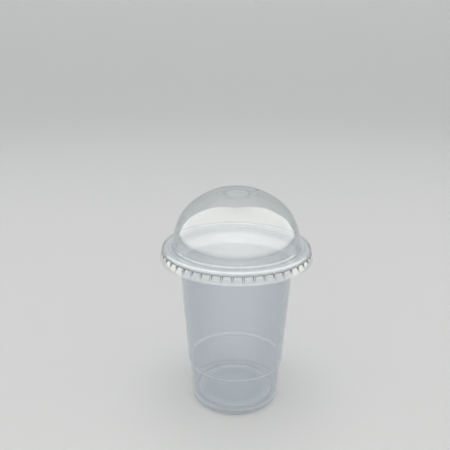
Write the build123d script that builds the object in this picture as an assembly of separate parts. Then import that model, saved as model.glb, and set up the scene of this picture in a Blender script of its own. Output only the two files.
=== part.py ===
"""Disposable plastic cup with a snap-on dome lid.

Two thin-walled pieces, each formed in one go: a translucent cup with a raised
floor, a stacking step and a flanged rim, and a clear dome lid with a straw
hole and a ring of snap lugs inside its skirt.

Millimetres, +Z up. The origin is the centre of the foot ring, on the surface
that the cup stands on.
"""

import math
import os

from build123d import *

# --- cup: driving dimensions -------------------------------------------------
WALL = 0.45
CUP_HEIGHT = 111.3
RIM_RADIUS = 47.5
LOWER_DRAFT = 4.7
UPPER_DRAFT = 3.9

FOOT_WIDTH = 4.55
FOOT_TAPER = 0.5
FOOT_ROUND = 0.6
HEEL_ROUND = 3.5

FLOOR_RISE = 6.0
FLOOR_ROUND = 0.8
PANEL_INSET = 3.4
PANEL_DROP = 0.4
PANEL_RAMP = 0.7

STEP_HEIGHT = 28.5
STEP_WIDTH = 0.75
STEP_RISE = 0.8
STEP_ROUND = 0.35

COLLAR_HEIGHT = 6.8
RIM_OVERHANG = 4.9
SHOULDER_WIDTH = 4.68
SHOULDER_RISE = 4.6
SHOULDER_ROUND = 1.2
RIM_INNER_ROUND = 0.6
RIM_OUTER_ROUND = 0.7
LIP_DROP = 2.0

# --- lid: driving dimensions -------------------------------------------------
SHEET = 0.35
DOME_INSET = 6.3
DOME_RISE = 38.65
DOME_CROWN_LIFT = 3.6
DOME_STRAIGHT = 3.35
DOME_ROUND = 1.2
CROWN_CUT = 2.5
CROWN_ROUND = 0.9
DISH_DEPTH = 1.3
DISH_RAMP = 2.2
STRAW_HOLE_RADIUS = 7.5

SEAT_WIDTH = 3.0
RIDGE_RISE = 0.7
RIDGE_RAMP = 0.7
RIDGE_INNER_ROUND = 0.6
RIDGE_OUTER_ROUND = 1.7

SKIRT_CLEARANCE = 0.78
SKIRT_FLARE = 12.0
SKIRT_DEPTH = 8.5

LUG_COUNT = 48
LUG_WIDTH = 5.0
LUG_HEIGHT = 3.2
LUG_DROP = 0.1
LUG_CLEARANCE = 0.35


def thicken(line, amount, side):
    """Close a line into a face by giving it a wall on one side."""
    outline = line.wire().offset_2d(amount, kind=Kind.ARC, side=side, closed=True)
    return make_face(outline.edges())


def turn(profile):
    """Revolve a profile that was drawn as (radius, height) about the Z axis."""
    return revolve(Plane.XZ * profile, Axis.Z)


def run_out(height, draft):
    """How far a wall that leans by a draft in degrees moves outwards over a height."""
    return height * math.tan(math.radians(draft))


# --- cup ----------------------------------------------------------------------
# The side hangs from the rim: each radius below follows from the one above it.
COLLAR_FOOT = CUP_HEIGHT - COLLAR_HEIGHT
SHOULDER_FOOT = COLLAR_FOOT - SHOULDER_RISE
STEP_TOP = STEP_HEIGHT + STEP_RISE

COLLAR_RADIUS = RIM_RADIUS - RIM_OVERHANG
COLLAR_FOOT_RADIUS = COLLAR_RADIUS - run_out(COLLAR_HEIGHT, UPPER_DRAFT)
SHOULDER_FOOT_RADIUS = COLLAR_FOOT_RADIUS - SHOULDER_WIDTH
STEP_TOP_RADIUS = SHOULDER_FOOT_RADIUS - run_out(SHOULDER_FOOT - STEP_TOP, UPPER_DRAFT)
STEP_FOOT_RADIUS = STEP_TOP_RADIUS - STEP_WIDTH
BASE_RADIUS = STEP_FOOT_RADIUS - run_out(STEP_HEIGHT, LOWER_DRAFT)
FOOT_INNER_RADIUS = BASE_RADIUS - FOOT_WIDTH
PANEL_RADIUS = FOOT_INNER_RADIUS - PANEL_INSET


def make_cup():
    """The cup's outside is drawn from its axis outwards; the wall lies inside."""
    floor_under = FLOOR_RISE - WALL
    panel_under = floor_under - PANEL_DROP
    lip_inside = RIM_RADIUS - WALL
    flange_under = CUP_HEIGHT - WALL

    corners = [
        ((PANEL_RADIUS, panel_under), PANEL_RAMP / 2),
        ((PANEL_RADIUS + PANEL_RAMP, floor_under), PANEL_RAMP / 2),
        ((FOOT_INNER_RADIUS, floor_under), FLOOR_ROUND),
        ((FOOT_INNER_RADIUS + FOOT_TAPER, 0), FOOT_ROUND),
        ((BASE_RADIUS, 0), HEEL_ROUND),
        ((STEP_FOOT_RADIUS, STEP_HEIGHT), STEP_ROUND),
        ((STEP_TOP_RADIUS, STEP_TOP), STEP_ROUND),
        ((SHOULDER_FOOT_RADIUS, SHOULDER_FOOT), SHOULDER_ROUND),
        ((COLLAR_FOOT_RADIUS, COLLAR_FOOT), SHOULDER_ROUND),
        ((COLLAR_RADIUS, flange_under), RIM_INNER_ROUND),
        ((lip_inside, flange_under), RIM_OUTER_ROUND),
    ]
    points = [(0, panel_under)] + [point for point, _ in corners]
    points.append((lip_inside, CUP_HEIGHT - LIP_DROP))
    outside = FilletPolyline(*points, radius=[radius for _, radius in corners])
    cup = turn(thicken(outside, WALL, Side.LEFT))
    cup.label = "cup"
    return cup


# --- lid ----------------------------------------------------------------------
DOME_RADIUS = RIM_RADIUS - DOME_INSET
SEAT_TOP = CUP_HEIGHT + SHEET
RIDGE_TOP = SEAT_TOP + RIDGE_RISE
SKIRT_FOOT = RIDGE_TOP - SKIRT_DEPTH
LUG_TOP = CUP_HEIGHT - LIP_DROP - LUG_DROP


def skirt_radius(height):
    """Outer radius of the flared skirt at a height."""
    beside_rim = RIM_RADIUS + SKIRT_CLEARANCE + SHEET
    return beside_rim + run_out(CUP_HEIGHT - height, SKIRT_FLARE)


def dome_line():
    """Outside of the lid's dome, from the straw hole down to the dome's foot.

    Two tangent arcs: one over the top with its centre on the axis, and one that
    meets the straight foot. On a dome that is wider than it is tall the lower
    arc is the tighter, by the crown lift, and on a taller dome it is the wider.
    The crown is cut off into a shallow dish, with the straw hole in its flat.
    """
    spring = SEAT_TOP + DOME_STRAIGHT
    rise = DOME_RISE - DOME_STRAIGHT
    lift = math.copysign(DOME_CROWN_LIFT, DOME_RADIUS - rise)
    lower_arc = rise - lift
    lower_centre = Vector(DOME_RADIUS - lower_arc, spring)
    # The two centres lie as far apart as the two radii differ.
    reach = lower_centre.X**2 + rise**2 - lower_arc**2
    upper_arc = reach / (2 * lift)
    upper_centre = Vector(0, spring + rise - upper_arc)
    towards_joint = (lower_centre - upper_centre) / (upper_arc - lower_arc)
    joint = upper_centre + towards_joint * upper_arc

    crown = spring + rise - CROWN_CUT
    crown_radius = math.sqrt(upper_arc**2 - (crown - upper_centre.Y) ** 2)
    start_angle = math.degrees(math.atan2(crown - upper_centre.Y, crown_radius))
    joint_angle = math.degrees(math.atan2(joint.Y - upper_centre.Y, joint.X))
    dish_edge = (crown_radius - DISH_RAMP, crown - DISH_DEPTH)
    dish = Polyline((STRAW_HOLE_RADIUS, crown - DISH_DEPTH), dish_edge, (crown_radius, crown))
    upper = CenterArc(upper_centre, upper_arc, start_angle, joint_angle - start_angle)
    lower = CenterArc(lower_centre, lower_arc, joint_angle, -joint_angle)
    dome = Wire(dish.edges() + upper.edges() + lower.edges())
    bends = dome.vertices().sort_by_distance((crown_radius, crown))[:1]
    bends += dome.vertices().sort_by_distance(dish_edge)[:1]
    return dome.fillet_2d(CROWN_ROUND, bends)


def make_rim_line():
    """Outside of the lid from the dome's foot, over the ridge, to the skirt's edge."""
    seat_end = DOME_RADIUS + SEAT_WIDTH
    corners = [
        ((DOME_RADIUS, SEAT_TOP), DOME_ROUND),
        ((seat_end, SEAT_TOP), RIDGE_INNER_ROUND),
        ((seat_end + RIDGE_RAMP, RIDGE_TOP), RIDGE_INNER_ROUND),
        ((skirt_radius(RIDGE_TOP), RIDGE_TOP), RIDGE_OUTER_ROUND),
    ]
    points = [(DOME_RADIUS, SEAT_TOP + DOME_STRAIGHT)] + [point for point, _ in corners]
    points.append((skirt_radius(SKIRT_FOOT), SKIRT_FOOT))
    return FilletPolyline(*points, radius=[radius for _, radius in corners])


def lug_tool(top, foot, inner_radius, outer_offset, width):
    """A wedge in the skirt: deepest at its top ledge, running out at its foot."""
    section = Polyline(
        (inner_radius, top),
        (skirt_radius(top) + outer_offset, top),
        (skirt_radius(foot) + outer_offset, foot),
        close=True,
    )
    angle = math.degrees(width / skirt_radius(top))
    return revolve(Plane.XZ * make_face(section), Axis.Z, angle).rotate(Axis.Z, -angle / 2)


def make_lid():
    """The lid's sheet lies under its outside; the lugs are pressed inwards."""
    outside = Wire(dome_line().edges() + make_rim_line().edges())
    lid = turn(thicken(outside, SHEET, Side.RIGHT))

    lug_radius = RIM_RADIUS + LUG_CLEARANCE
    foot = LUG_TOP - LUG_HEIGHT
    pad = lug_tool(LUG_TOP + SHEET, foot - SHEET, lug_radius, -SHEET / 2, LUG_WIDTH + 2 * SHEET)
    pocket = lug_tool(LUG_TOP, foot, lug_radius + SHEET, SHEET, LUG_WIDTH)
    around = [Rotation(0, 0, 360 * i / LUG_COUNT) for i in range(LUG_COUNT)]
    lid += [place * pad for place in around]
    lid -= [place * pocket for place in around]
    lid.label = "dome_lid"
    return lid


def main():
    os.makedirs("parts", exist_ok=True)
    for part in (make_cup(), make_lid()):
        export_step(part, f"parts/{part.label}.step")


main()
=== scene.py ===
"""A translucent plastic cup with a clear dome lid, on a plain pale floor.

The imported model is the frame. Both pieces are remade here as fine lathed
meshes on the frame's sizes, with the lid's pressed lugs, and finished with
procedural plastics. Metres throughout.
"""

import math

import bpy
from mathutils import Matrix, Vector


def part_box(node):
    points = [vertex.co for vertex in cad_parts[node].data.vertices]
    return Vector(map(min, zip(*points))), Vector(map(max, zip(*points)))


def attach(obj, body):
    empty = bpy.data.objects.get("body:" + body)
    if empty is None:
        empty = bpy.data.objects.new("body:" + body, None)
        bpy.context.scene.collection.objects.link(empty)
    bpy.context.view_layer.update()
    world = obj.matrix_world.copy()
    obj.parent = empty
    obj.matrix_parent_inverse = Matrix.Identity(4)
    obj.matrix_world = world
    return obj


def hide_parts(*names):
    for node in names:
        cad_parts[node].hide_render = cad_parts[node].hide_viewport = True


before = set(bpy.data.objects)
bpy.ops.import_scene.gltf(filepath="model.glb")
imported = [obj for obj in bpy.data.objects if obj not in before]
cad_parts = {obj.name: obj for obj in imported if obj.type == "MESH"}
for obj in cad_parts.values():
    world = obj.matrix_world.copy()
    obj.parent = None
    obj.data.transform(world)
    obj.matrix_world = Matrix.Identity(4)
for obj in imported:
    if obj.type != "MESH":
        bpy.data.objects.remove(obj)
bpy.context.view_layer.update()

MM = 0.001
FULL_TURN = 2 * math.pi

# --- sizes taken from the frame --------------------------------------------------
_, cup_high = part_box("cup")
lid_low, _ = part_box("dome_lid")
CUP_HEIGHT = cup_high.z
RIM_RADIUS = cup_high.x
# The skirt's cut edge leans, so its outer corner ends a little above its inner one.
EDGE_LEAN = 0.05 * MM
SKIRT_FOOT = lid_low.z + EDGE_LEAN

# --- cup sizes ---------------------------------------------------------------------
WALL = 0.45 * MM
BASE_RADIUS = 29.55 * MM
LOWER_DRAFT = math.tan(math.radians(4.7))
UPPER_DRAFT = math.tan(math.radians(3.9))
FOOT_INNER_RADIUS = 25.0 * MM
FOOT_TAPER = 0.5 * MM
FOOT_ROUND = 0.6 * MM
HEEL_ROUND = 3.5 * MM
FLOOR_RISE = 6.0 * MM
FLOOR_ROUND = 0.8 * MM
PANEL_RADIUS = 21.6 * MM
PANEL_DROP = 0.4 * MM
PANEL_RAMP = 0.7 * MM
PANEL_ROUND = 0.55 * MM
STEP_HEIGHT = 28.5 * MM
STEP_WIDTH = 0.75 * MM
STEP_RISE = 0.8 * MM
STEP_ROUND = 0.35 * MM
STEP_TOP_ROUND = 0.6 * MM
COLLAR_HEIGHT = 6.8 * MM
RIM_OVERHANG = 4.9 * MM
SHOULDER_RISE = 4.6 * MM
SHOULDER_ROUND = 1.2 * MM
RIM_INNER_ROUND = 0.6 * MM
RIM_OUTER_ROUND = 0.7 * MM
LIP_DROP = 2.0 * MM

# --- lid sizes ---------------------------------------------------------------------
SHEET = 0.35 * MM
DOME_RADIUS = 41.2 * MM
DOME_RISE = 38.65 * MM
DOME_CROWN_LIFT = 3.6 * MM
DOME_STRAIGHT = 3.35 * MM
DOME_ROUND = 1.2 * MM
CROWN_CUT = 2.5 * MM
CROWN_ROUND = 0.9 * MM
DISH_DEPTH = 1.3 * MM
DISH_RAMP = 2.2 * MM
STRAW_HOLE_RADIUS = 7.5 * MM
SEAT_WIDTH = 3.0 * MM
RIDGE_RISE = 0.7 * MM
RIDGE_RAMP = 0.7 * MM
RIDGE_INNER_ROUND = 0.6 * MM
RIDGE_OUTER_ROUND = 1.7 * MM
SKIRT_CLEARANCE = 0.78 * MM
SKIRT_FLARE = math.tan(math.radians(12.0))
SKIRT_BEAD = 0.5 * MM
LUG_COUNT = 48
LUG_DROP = 0.1 * MM
LUG_WIDTH = 5.0 * MM
LUG_EDGE = 0.3 * MM
LUG_HEIGHT = 3.2 * MM
LUG_DEPTH = 0.85 * MM
LUG_LEDGE = 0.12 * MM
# How wide the painted shade lines along a lug's bends are, and how dark the painted shade along its
# top is.
BEND_SHADE_WIDTH = 0.35 * MM
SIDE_BEND_SHADE_WIDTH = 0.18 * MM
TOP_BEND_SHADE_SHARE = 0.55
LUG_SIDE = LUG_WIDTH / 2 + LUG_EDGE
# Where the mesh's columns run beside the middle of a lug, on one side and on both.
HALF_LUG = [
    LUG_WIDTH / 6, LUG_WIDTH / 2 - SIDE_BEND_SHADE_WIDTH, LUG_WIDTH / 2, LUG_SIDE, LUG_SIDE + SIDE_BEND_SHADE_WIDTH,
]
LUG_COLUMNS = [-beside for beside in reversed(HALF_LUG)] + HALF_LUG

# A line of sight through both pieces crosses many faces of clear sheet.
SHEET_CROSSINGS = 32

# --- mesh fineness -----------------------------------------------------------------
ARC_STEP = math.radians(11)
CUP_COLUMNS = 288
CUP_ROW = 2.2 * MM
LID_ROW = 3.0 * MM
UPPER_DOME_STEPS = 14
LOWER_DOME_STEPS = 20
ON_AXIS = 1e-6
SAME_POINT = 1e-7
# How far a moved path's sharp corners may stretch: one over this.
CORNER_LIMIT = 0.5


# --- profiles ----------------------------------------------------------------------
def rounded(points, radii):
    """A polyline whose inner corners are rounded; radii are one per inner corner."""
    path = [Vector(points[0])]
    for before, corner, after, radius in zip(points, points[1:], points[2:], radii):
        corner = Vector(corner)
        back = (Vector(before) - corner).normalized()
        ahead = (Vector(after) - corner).normalized()
        half = back.angle(ahead) / 2
        centre = corner + (back + ahead).normalized() * (radius / math.sin(half))
        start = corner + back * (radius / math.tan(half))
        spoke = start - centre
        sweep = math.pi - 2 * half
        turn_sign = 1 if back.x * ahead.y - back.y * ahead.x < 0 else -1
        steps = max(2, math.ceil(sweep / ARC_STEP))
        for i in range(steps + 1):
            angle = turn_sign * sweep * i / steps
            path.append(centre + Matrix.Rotation(angle, 2) @ spoke)
    path.append(Vector(points[-1]))
    return path


def arc(centre, radius, start, end, steps):
    """Points along an arc, from start to end in radians."""
    angles = [start + (end - start) * i / steps for i in range(steps + 1)]
    return [Vector((centre.x + radius * math.cos(a), centre.y + radius * math.sin(a))) for a in angles]


def spaced(path, longest):
    """The path with no run longer than the given length, and no doubled point."""
    out = [path[0]]
    for point in path[1:]:
        run = (point - out[-1]).length
        if run < SAME_POINT:
            continue
        pieces = math.ceil(run / longest)
        start = out[-1]
        out += [start.lerp(point, i / pieces) for i in range(1, pieces + 1)]
    return out


def offset(path, amount):
    """The path moved to its left by an amount."""
    moved = []
    for i, point in enumerate(path):
        before = path[max(i - 1, 0)]
        after = path[min(i + 1, len(path) - 1)]
        normals = []
        for a, b in ((before, point), (point, after)):
            if (b - a).length > 0:
                run = (b - a).normalized()
                normals.append(Vector((-run.y, run.x)))
        normal = sum(normals, Vector((0, 0))).normalized()
        moved.append(point + normal * (amount / max(normal.dot(normals[0]), CORNER_LIMIT)))
    return moved


def lathe(name, outer, inner, columns, density, angle_of=None, shift=None, painted_bend_shade=None):
    """A closed shell of revolution between two paths.

    Paths that start on the axis close there with a fan. density(radius, height,
    inside) gives how milky the plastic is, painted highlights included. angle_of(column,
    radius) places a column, and columns are evenly turned without it. shift(radius,
    height, angle) moves a point outwards, and the last function, of radius, height
    and angle, gives how dark the shade painted along the sheet's sharp bends is.
    """
    on_axis = outer[0].x < ON_AXIS
    ring = outer[on_axis:] + inner[::-1][: len(inner) - on_axis]
    rows = len(ring)
    vertices, bend_shades = [], []
    for c in range(columns):
        for point in ring:
            angle = angle_of(c, point.x) if angle_of else FULL_TURN * c / columns
            radius = point.x + (shift(point.x, point.y, angle) if shift else 0)
            vertices.append((radius * math.cos(angle), radius * math.sin(angle), point.y))
            bend_shades.append(painted_bend_shade(point.x, point.y, angle) if painted_bend_shade else 0)
    faces = []
    spans = rows - 1 if on_axis else rows
    for c in range(columns):
        here, there = c * rows, (c + 1) % columns * rows
        for r in range(spans):
            nxt = (r + 1) % rows
            faces.append((here + r, there + r, there + nxt, here + nxt))
    if on_axis:
        for row, height, flip in ((0, outer[0].y, True), (rows - 1, inner[0].y, False)):
            centre = len(vertices)
            vertices.append((0, 0, height))
            for c in range(columns):
                here, there = c * rows + row, (c + 1) % columns * rows + row
                faces.append((centre, there, here) if flip else (centre, here, there))
    mesh = bpy.data.meshes.new(name)
    mesh.from_pydata(vertices, [], faces)
    mesh.update()
    mesh.shade_smooth()
    outer_rows = len(outer) - on_axis
    ring_milk = [density(point.x, point.y, row >= outer_rows) for row, point in enumerate(ring)]
    milk = ring_milk * columns
    milk += [density(0, 0, False)] * (len(vertices) - len(milk))
    mesh.attributes.new("milk", "FLOAT", "POINT").data.foreach_set("value", milk)
    bend_shades += [0] * (len(vertices) - len(bend_shades))
    mesh.attributes.new("painted_bend_shade", "FLOAT", "POINT").data.foreach_set("value", bend_shades)
    piece = bpy.data.objects.new(name, mesh)
    bpy.context.scene.collection.objects.link(piece)
    return piece


# --- cup ---------------------------------------------------------------------------
def wall_radius(height):
    """Outer radius of the cup's side, with the stacking step."""
    if height <= STEP_HEIGHT:
        return BASE_RADIUS + height * LOWER_DRAFT
    foot = BASE_RADIUS + STEP_HEIGHT * LOWER_DRAFT + STEP_WIDTH
    return foot + (height - STEP_HEIGHT - STEP_RISE) * UPPER_DRAFT


def cup_outline():
    """Outside of the cup, from its axis to the lip of its rim."""
    floor_under = FLOOR_RISE - WALL
    panel_under = floor_under - PANEL_DROP
    collar_foot = CUP_HEIGHT - COLLAR_HEIGHT
    shoulder_foot = collar_foot - SHOULDER_RISE
    collar_radius = RIM_RADIUS - RIM_OVERHANG
    lip_inside = RIM_RADIUS - WALL
    flange_under = CUP_HEIGHT - WALL
    corners = [
        ((PANEL_RADIUS, panel_under), PANEL_ROUND),
        ((PANEL_RADIUS + PANEL_RAMP, floor_under), PANEL_ROUND),
        ((FOOT_INNER_RADIUS, floor_under), FLOOR_ROUND),
        ((FOOT_INNER_RADIUS + FOOT_TAPER, 0), FOOT_ROUND),
        ((BASE_RADIUS, 0), HEEL_ROUND),
        ((wall_radius(STEP_HEIGHT), STEP_HEIGHT), STEP_ROUND),
        ((wall_radius(STEP_HEIGHT) + STEP_WIDTH, STEP_HEIGHT + STEP_RISE), STEP_TOP_ROUND),
        ((wall_radius(shoulder_foot), shoulder_foot), SHOULDER_ROUND),
        ((collar_radius - COLLAR_HEIGHT * UPPER_DRAFT, collar_foot), SHOULDER_ROUND),
        ((collar_radius, flange_under), RIM_INNER_ROUND),
        ((lip_inside, flange_under), RIM_OUTER_ROUND),
    ]
    points = [(0, panel_under)] + [point for point, _ in corners]
    points.append((lip_inside, CUP_HEIGHT - LIP_DROP))
    return spaced(rounded(points, [radius for _, radius in corners]), CUP_ROW)


def bump_at(value, centre, width):
    """1 at the centre, falling smoothly to 0 a few widths away."""
    return math.exp(-(((value - centre) / width) ** 2))


# Shares of light that the cup's plastic scatters at each place, from 0, clear, to 1, white.
WALL_MILK = 0.08
FLOOR_MILK = 0.4
PANEL_MILK = 0.25
# Painted highlight on the inside of the stacking step.
STEP_PAINTED_HIGHLIGHT = 0.4
HEEL_MILK = 0.15
# Painted highlight in a band at the floor's height.
FLOOR_EDGE_PAINTED_HIGHLIGHT = 0.25
# Painted highlight round the fold where the floor meets the foot.
FOLD_PAINTED_HIGHLIGHT = 0.5
RIM_MILK = 0.85
MOST_MILK = 0.95


def cup_milk_and_highlights(radius, height, inside):
    """How milky the cup is: more at its rim, floor and heel, where it is thick, with painted
    highlights at the step's inside, at the floor's height and round the fold at the foot.
    """
    if radius < FOOT_INNER_RADIUS - 1 * MM:
        return FLOOR_MILK + PANEL_MILK * bump_at(radius, PANEL_RADIUS + PANEL_RAMP / 2, 0.7 * MM)
    # Painted highlight round the fold at the foot.
    fold_highlight_mask = bump_at(radius, FOOT_INNER_RADIUS, 1.2 * MM) * bump_at(height, FLOOR_RISE, 2.5 * MM)
    milk = WALL_MILK + FOLD_PAINTED_HIGHLIGHT * fold_highlight_mask
    # Painted highlight on the step's inside, so only the far wall shows it.
    milk += STEP_PAINTED_HIGHLIGHT * inside * bump_at(height, STEP_HEIGHT + STEP_RISE / 2, 0.8 * MM)
    milk += HEEL_MILK * bump_at(height, 0, FLOOR_RISE)
    # Painted highlight in a band at the floor's height.
    milk += FLOOR_EDGE_PAINTED_HIGHLIGHT * bump_at(height, FLOOR_RISE, 1.2 * MM)
    if radius > RIM_RADIUS - RIM_OVERHANG:
        milk += RIM_MILK * bump_at(height, CUP_HEIGHT, LIP_DROP + 1 * MM)
    return min(milk, MOST_MILK)


def make_cup():
    outer = cup_outline()
    inner = offset(outer, WALL)
    return lathe("cup_body", outer, inner, CUP_COLUMNS, cup_milk_and_highlights)


# --- lid ---------------------------------------------------------------------------
SEAT_TOP = CUP_HEIGHT + SHEET
RIDGE_TOP = SEAT_TOP + RIDGE_RISE
LUG_TOP = CUP_HEIGHT - LIP_DROP - LUG_DROP


def skirt_radius(height):
    """Outer radius of the flared skirt."""
    return RIM_RADIUS + SKIRT_CLEARANCE + SHEET + (CUP_HEIGHT - height) * SKIRT_FLARE


def dome_outline():
    """Outside of the dome, from the straw hole in its dish down to its straight foot."""
    spring = SEAT_TOP + DOME_STRAIGHT
    rise = DOME_RISE - DOME_STRAIGHT
    lower_arc = rise - DOME_CROWN_LIFT
    lower_centre = Vector((DOME_RADIUS - lower_arc, spring))
    reach = lower_centre.x**2 + rise**2 - lower_arc**2
    upper_arc = reach / (2 * DOME_CROWN_LIFT)
    upper_centre = Vector((0, spring + rise - upper_arc))
    crown = spring + rise - CROWN_CUT
    above_centre = crown - upper_centre.y
    crown_radius = math.sqrt(upper_arc**2 - above_centre**2)
    start = math.atan2(above_centre, crown_radius)
    joint = math.atan2(spring - upper_centre.y, lower_centre.x)
    upper = arc(upper_centre, upper_arc, start, joint, UPPER_DOME_STEPS)
    lower = arc(lower_centre, lower_arc, joint, 0, LOWER_DOME_STEPS)
    dish = crown - DISH_DEPTH
    rim = [(STRAW_HOLE_RADIUS, dish), (crown_radius - DISH_RAMP, dish), upper[0], upper[1]]
    return rounded(rim, [CROWN_ROUND] * 2) + upper[2:] + lower[1:]


def lid_outline():
    """Outside of the whole lid, from the straw hole to the skirt's edge."""
    seat_end = DOME_RADIUS + SEAT_WIDTH
    corners = [
        ((DOME_RADIUS, SEAT_TOP), DOME_ROUND),
        ((seat_end, SEAT_TOP), RIDGE_INNER_ROUND),
        ((seat_end + RIDGE_RAMP, RIDGE_TOP), RIDGE_INNER_ROUND),
        ((skirt_radius(RIDGE_TOP), RIDGE_TOP), RIDGE_OUTER_ROUND),
    ]
    rows = (
        LUG_TOP + BEND_SHADE_WIDTH, LUG_TOP + LUG_LEDGE, LUG_TOP, LUG_TOP - BEND_SHADE_WIDTH, LUG_TOP - LUG_HEIGHT,
        SKIRT_FOOT + SKIRT_BEAD, SKIRT_FOOT,
    )
    skirt = [Vector((skirt_radius(height), height)) for height in rows]
    points = [(DOME_RADIUS, SEAT_TOP + DOME_STRAIGHT)] + [point for point, _ in corners]
    rim = rounded(points + skirt[:1], [radius for _, radius in corners]) + skirt[1:]
    return spaced(dome_outline() + rim[1:], LID_ROW)


def lid_angle(column, radius):
    """A column's angle: even round the dome, gathered at each lug's sides in the skirt."""
    lug, place = divmod(column, len(LUG_COLUMNS))
    pitch = FULL_TURN / LUG_COUNT
    even = pitch * ((place + 0.5) / len(LUG_COLUMNS) - 0.5)
    gathered = LUG_COLUMNS[place] / skirt_radius(LUG_TOP)
    ridge = DOME_RADIUS + SEAT_WIDTH
    share = min(max((radius - ridge) / (RIM_RADIUS - ridge), 0), 1)
    return pitch * lug + even + (gathered - even) * share


def off_lug(angle):
    """Distance along the skirt from the middle of the nearest lug."""
    pitch = FULL_TURN / LUG_COUNT
    return abs((angle + pitch / 2) % pitch - pitch / 2) * skirt_radius(LUG_TOP)


def lug_shift(radius, height, angle):
    """How far a lug presses a point of the skirt inwards: most at its top ledge."""
    if radius < RIM_RADIUS:
        return 0
    drop = (LUG_TOP + LUG_LEDGE / 2 - height) / LUG_HEIGHT
    if drop <= 0 or drop >= 1:
        return 0
    side = (LUG_SIDE - off_lug(angle)) / LUG_EDGE
    return -LUG_DEPTH * (1 - drop) * min(max(side, 0), 1)


def lug_bend_shade(radius, height, angle):
    """How dark the shade painted along a sharp bend of the sheet is: along each lug's top ledge and
    two sides.
    """
    if radius < RIM_RADIUS:
        return 0
    drop = (LUG_TOP - height) / LUG_HEIGHT
    off = off_lug(angle)
    slack = LUG_EDGE / 10
    on_lug = off < LUG_SIDE + slack
    along_top = on_lug and abs(height - LUG_TOP) < BEND_SHADE_WIDTH / 2
    along_side = on_lug and off > LUG_WIDTH / 2 - slack and 0 <= drop < 1
    return max(TOP_BEND_SHADE_SHARE * along_top, along_side * (1 - drop))


SHEET_HAZE = 0.004
RIDGE_HAZE = 0.05


def lid_milk(radius, height, inside):
    """The clear sheet has a little haze at its ridge and skirt, where it was bent most."""
    return SHEET_HAZE + RIDGE_HAZE * bump_at(radius, RIM_RADIUS + 1 * MM, 2.5 * MM)


def make_lid():
    outer = lid_outline()
    inner = offset(outer, -SHEET)
    columns = LUG_COUNT * len(LUG_COLUMNS)
    return lathe("lid_shell", inner, outer, columns, lid_milk, lid_angle, lug_shift, lug_bend_shade)


# --- materials ---------------------------------------------------------------------
def new_material(name):
    """An empty node material and a short way to add its nodes."""
    material = bpy.data.materials.new(name)
    material.use_nodes = True
    tree = material.node_tree
    tree.nodes.clear()

    def add(kind, **inputs):
        node = tree.nodes.new(kind)
        for key, value in inputs.items():
            node.inputs[key.replace("_", " ")].default_value = value
        return node

    return material, add, tree.links.new


# The colour sockets of a Mix node, by their places in its lists.
COLOUR_A, COLOUR_B, COLOUR_RESULT = 6, 7, 2


def colour_mix(add, first, second):
    """A mix of two colours; a colour that is None is left to be linked."""
    node = add("ShaderNodeMix")
    node.data_type = "RGBA"
    for socket, colour in ((COLOUR_A, first), (COLOUR_B, second)):
        if colour:
            node.inputs[socket].default_value = (*colour, 1)
    return node


def sheet_fresnel(add, link, ior, bump):
    """Fresnel of a sheet's face that is the same from its two sides."""
    side = add("ShaderNodeNewGeometry")
    pick = add("ShaderNodeMix")
    pick.inputs["A"].default_value = ior
    pick.inputs["B"].default_value = 1 / ior
    link(side.outputs["Backfacing"], pick.inputs["Factor"])
    fresnel = add("ShaderNodeFresnel")
    link(pick.outputs["Result"], fresnel.inputs["IOR"])
    link(bump.outputs["Normal"], fresnel.inputs["Normal"])
    return fresnel


# How high the faint waves in a moulded face are, and how much scattered light goes on through.
WAVE_HEIGHT = 0.3 * MM
BACKLIT_SHARE = 0.4


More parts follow.
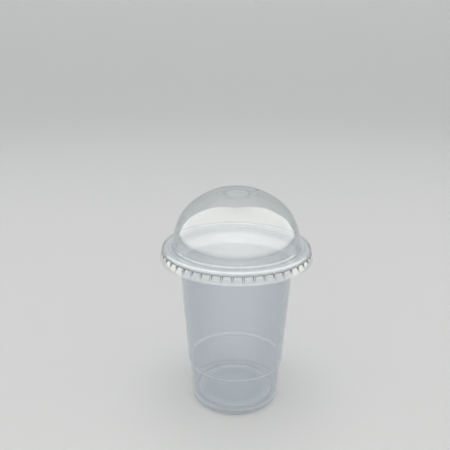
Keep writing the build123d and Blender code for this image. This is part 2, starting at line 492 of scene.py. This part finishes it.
def thin_sheet(name, look):
    """A thin sheet of plastic: gloss over a mix of seeing through it and scattering.

    The share that scatters comes from the mesh's milk attribute, which on the cup
    also holds painted highlights, and grows towards the edges, where a line of sight
    runs further through the sheet; the light that goes through is dimmed there too,
    and it is darkened by painted shade along the sheet's sharp bends.
    """
    material, add, link = new_material(name)
    place = add("ShaderNodeTexCoord")
    grain = add("ShaderNodeTexNoise", Scale=look["grain"], Detail=3.0, Roughness=0.5)
    link(place.outputs["Object"], grain.inputs["Vector"])
    bump = add("ShaderNodeBump", Strength=look["wave"], Distance=WAVE_HEIGHT)
    link(grain.outputs["Fac"], bump.inputs["Height"])
    facing = add("ShaderNodeLayerWeight", Blend=look["edge_blend"])

    tint = colour_mix(add, look["clear"], look["clear_edge"])
    link(facing.outputs["Facing"], tint.inputs["Factor"])
    # Painted shade along sharp bends: the light that goes through is darkened towards the bend colour
    # there.
    bend_shade = add("ShaderNodeAttribute")
    bend_shade.attribute_name = "painted_bend_shade"
    shaded_bend = colour_mix(add, None, look["bend_shade"])
    link(bend_shade.outputs["Fac"], shaded_bend.inputs["Factor"])
    link(tint.outputs[COLOUR_RESULT], shaded_bend.inputs[COLOUR_A])
    through = add("ShaderNodeBsdfTransparent")
    link(shaded_bend.outputs[COLOUR_RESULT], through.inputs["Color"])

    front = add("ShaderNodeBsdfDiffuse", Color=(*look["milk"], 1))
    behind = add("ShaderNodeBsdfTranslucent", Color=(*look["milk"], 1))
    scatter = add("ShaderNodeMixShader", Fac=BACKLIT_SHARE)
    link(front.outputs["BSDF"], scatter.inputs[1])
    link(behind.outputs["BSDF"], scatter.inputs[2])

    density = add("ShaderNodeAttribute")
    density.attribute_name = "milk"
    edge = add("ShaderNodeMapRange")
    edge.inputs["To Max"].default_value = look["milk_edge"]
    link(facing.outputs["Facing"], edge.inputs["Value"])
    share = add("ShaderNodeMath")
    share.operation = "ADD"
    share.use_clamp = True
    link(density.outputs["Fac"], share.inputs[0])
    link(edge.outputs["Result"], share.inputs[1])
    body = add("ShaderNodeMixShader")
    link(share.outputs["Value"], body.inputs["Fac"])
    link(through.outputs["BSDF"], body.inputs[1])
    link(scatter.outputs["Shader"], body.inputs[2])

    gloss = add("ShaderNodeBsdfGlossy", Color=(1, 1, 1, 1), Roughness=look["roughness"])
    link(bump.outputs["Normal"], gloss.inputs["Normal"])
    surface = add("ShaderNodeMixShader")
    fresnel = sheet_fresnel(add, link, look["ior"], bump)
    link(fresnel.outputs["Fac"], surface.inputs["Fac"])
    link(body.outputs["Shader"], surface.inputs[1])
    link(gloss.outputs["BSDF"], surface.inputs[2])
    out = add("ShaderNodeOutputMaterial")
    link(surface.outputs["Shader"], out.inputs["Surface"])
    return material


# Each plastic's bend colour is the painted shade along sharp bends; only the lid's lugs carry any.
CLEAR_PET = {
    "grain": 55.0, "wave": 0.2, "edge_blend": 0.22, "roughness": 0.025, "ior": 1.57,
    "clear": (0.985, 0.988, 0.989), "clear_edge": (0.76, 0.785, 0.795), "bend_shade": (0.1, 0.11, 0.12),
    "milk": (0.87, 0.88, 0.88), "milk_edge": 0.1,
}
TRANSLUCENT_PP = {
    "grain": 90.0, "wave": 0.3, "edge_blend": 0.35, "roughness": 0.16, "ior": 1.49,
    "clear": (0.935, 0.948, 0.962), "clear_edge": (0.6, 0.64, 0.68), "bend_shade": (0.6, 0.64, 0.68),
    "milk": (0.88, 0.905, 0.93), "milk_edge": 0.4,
}


def pale_floor():
    """Plain, matt and light grey, and paler up the sweep, which gets less light."""
    material, add, link = new_material("pale_floor")
    place = add("ShaderNodeTexCoord")
    split = add("ShaderNodeSeparateXYZ")
    link(place.outputs["Object"], split.inputs["Vector"])
    rise = add("ShaderNodeMapRange")
    rise.inputs["From Max"].default_value = 1.0
    link(split.outputs["Z"], rise.inputs["Value"])
    tone = colour_mix(add, (0.66, 0.66, 0.65), (0.86, 0.86, 0.85))
    link(rise.outputs["Result"], tone.inputs["Factor"])
    matt = add("ShaderNodeBsdfDiffuse")
    link(tone.outputs[COLOUR_RESULT], matt.inputs["Color"])
    out = add("ShaderNodeOutputMaterial")
    link(matt.outputs["BSDF"], out.inputs["Surface"])
    return material


def glowing(name, strength):
    """A white panel light, as bright at each point as its sheet's glow attribute says."""
    material, add, link = new_material(name)
    glow = add("ShaderNodeAttribute")
    glow.attribute_name = "glow"
    level = add("ShaderNodeMath")
    level.operation = "MULTIPLY"
    level.inputs[1].default_value = strength
    link(glow.outputs["Fac"], level.inputs[0])
    light = add("ShaderNodeEmission", Color=(1, 0.98, 0.93, 1))
    link(level.outputs["Value"], light.inputs["Strength"])
    out = add("ShaderNodeOutputMaterial")
    link(light.outputs["Emission"], out.inputs["Surface"])
    return material


# --- stage -------------------------------------------------------------------------
FRONT = -math.pi / 2
STAGE_COLUMNS = 40
FLOOR_COLUMNS = 96
SWEEP_STEPS = 24


def lathed_stage(name, profile, start, end, columns, material, glow=None):
    """An open sheet of revolution that is part of the stage; glow is one level per point."""
    vertices = []
    for c in range(columns + 1):
        angle = start + (end - start) * c / columns
        vertices += [(p.x * math.cos(angle), p.x * math.sin(angle), p.y) for p in profile]
    rows = len(profile)
    faces = []
    for c in range(columns):
        here, there = c * rows, (c + 1) * rows
        faces += [(here + r, here + r + 1, there + r + 1, there + r) for r in range(rows - 1)]
    mesh = bpy.data.meshes.new(name)
    mesh.from_pydata(vertices, [], faces)
    mesh.shade_smooth()
    mesh.materials.append(material)
    levels = (glow or [1] * rows) * (columns + 1)
    mesh.attributes.new("glow", "FLOAT", "POINT").data.foreach_set("value", levels)
    sheet = bpy.data.objects.new(name, mesh)
    bpy.context.scene.collection.objects.link(sheet)
    return sheet


def make_floor():
    """A round floor that sweeps up into a wall, the same from every side."""
    flat, sweep, top = 1.4, 2.6, 4.2
    near_axis, middle = 0.0001, 0.5
    profile = [Vector((near_axis, 0)), Vector((middle, 0)), Vector((flat, 0))]
    profile += arc(Vector((flat, sweep)), sweep, -math.pi / 2, 0, SWEEP_STEPS)[1:]
    profile.append(Vector((flat + sweep, top)))
    lathed_stage("floor", profile, 0, FULL_TURN, FLOOR_COLUMNS, pale_floor())


def make_light_wall():
    """A wide curved panel light on the camera's side, which the camera doesn't see."""
    spread = math.radians(105)
    radius, low, high = 1.35, 0.2, 1.2
    profile = [Vector((radius, low)), Vector((radius, high))]
    panel = lathed_stage(
        "light_wall", profile, FRONT - spread, FRONT + spread, STAGE_COLUMNS,
        glowing("panel_glow", 1.2),
    )
    panel.visible_camera = False
    panel.visible_glossy = False


def make_reflection_card():
    """What the gloss of the plastic mirrors: a bright room in front, seen by reflections only.

    It starts softly on the floor, rises as a wall and closes overhead, and is
    moved back so that it ends a little behind the zenith. Its route is a list of
    radius, height and glow.
    """
    spread = math.radians(112)
    route = (
        (0.75, 0.004, 0), (1.1, 0.004, 0.5), (1.3, 0.1, 0.85), (1.3, 1.0, 1),
        (1.0, 1.7, 1), (0.5, 2.05, 0.9), (0.001, 2.15, 0.75),
    )
    profile = [Vector(point[:2]) for point in route]
    card = lathed_stage(
        "reflection_card", profile, FRONT - spread, FRONT + spread, STAGE_COLUMNS,
        glowing("card_glow", 2.8), [level for _, _, level in route],
    )
    card.location.y = 0.35
    card.visible_camera = False
    card.visible_diffuse = False
    card.visible_transmission = False
    card.visible_shadow = False


def make_top_light():
    light = bpy.data.lights.new("top_light", "AREA")
    light.shape = "DISK"
    light.size = 1.6
    light.energy = 12
    lamp = bpy.data.objects.new("top_light", light)
    lamp.location = (0, 0.2, 2.2)
    lamp.visible_glossy = False
    bpy.context.scene.collection.objects.link(lamp)


def make_world():
    world = bpy.data.worlds.new("studio")
    world.use_nodes = True
    world.node_tree.nodes["Background"].inputs["Color"].default_value = (0.93, 0.96, 1, 1)
    world.node_tree.nodes["Background"].inputs["Strength"].default_value = 0.77
    bpy.context.scene.world = world


CAMERA_PLACE = Vector((-7.6, -343.2, 236.4)) * MM
CAMERA_PITCH = math.radians(17.98)
CAMERA_ROLL = math.radians(0.286)
# In millimetres, as Blender gives them.
CAMERA_LENS = 44.38
CAMERA_SENSOR = 36


def make_camera():
    camera = bpy.data.cameras.new("camera")
    camera.sensor_width = CAMERA_SENSOR
    camera.lens = CAMERA_LENS
    holder = bpy.data.objects.new("camera", camera)
    bpy.context.scene.collection.objects.link(holder)
    tilt = Matrix.Rotation(math.pi / 2 - CAMERA_PITCH, 4, "X")
    roll = Matrix.Rotation(CAMERA_ROLL, 4, "Z")
    holder.matrix_world = Matrix.Translation(CAMERA_PLACE) @ tilt @ roll
    bpy.context.scene.camera = holder


# --- the object --------------------------------------------------------------------
cup = make_cup()
cup.data.materials.append(thin_sheet("translucent_pp", TRANSLUCENT_PP))
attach(cup, "cup")
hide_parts("cup")

lid = make_lid()
lid.data.materials.append(thin_sheet("clear_pet", CLEAR_PET))
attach(lid, "lid")
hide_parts("dome_lid")

make_floor()
make_light_wall()
make_reflection_card()
make_top_light()
make_world()
make_camera()
bpy.context.scene.view_settings.view_transform = "Standard"
bpy.context.scene.cycles.transparent_max_bounces = SHEET_CROSSINGS
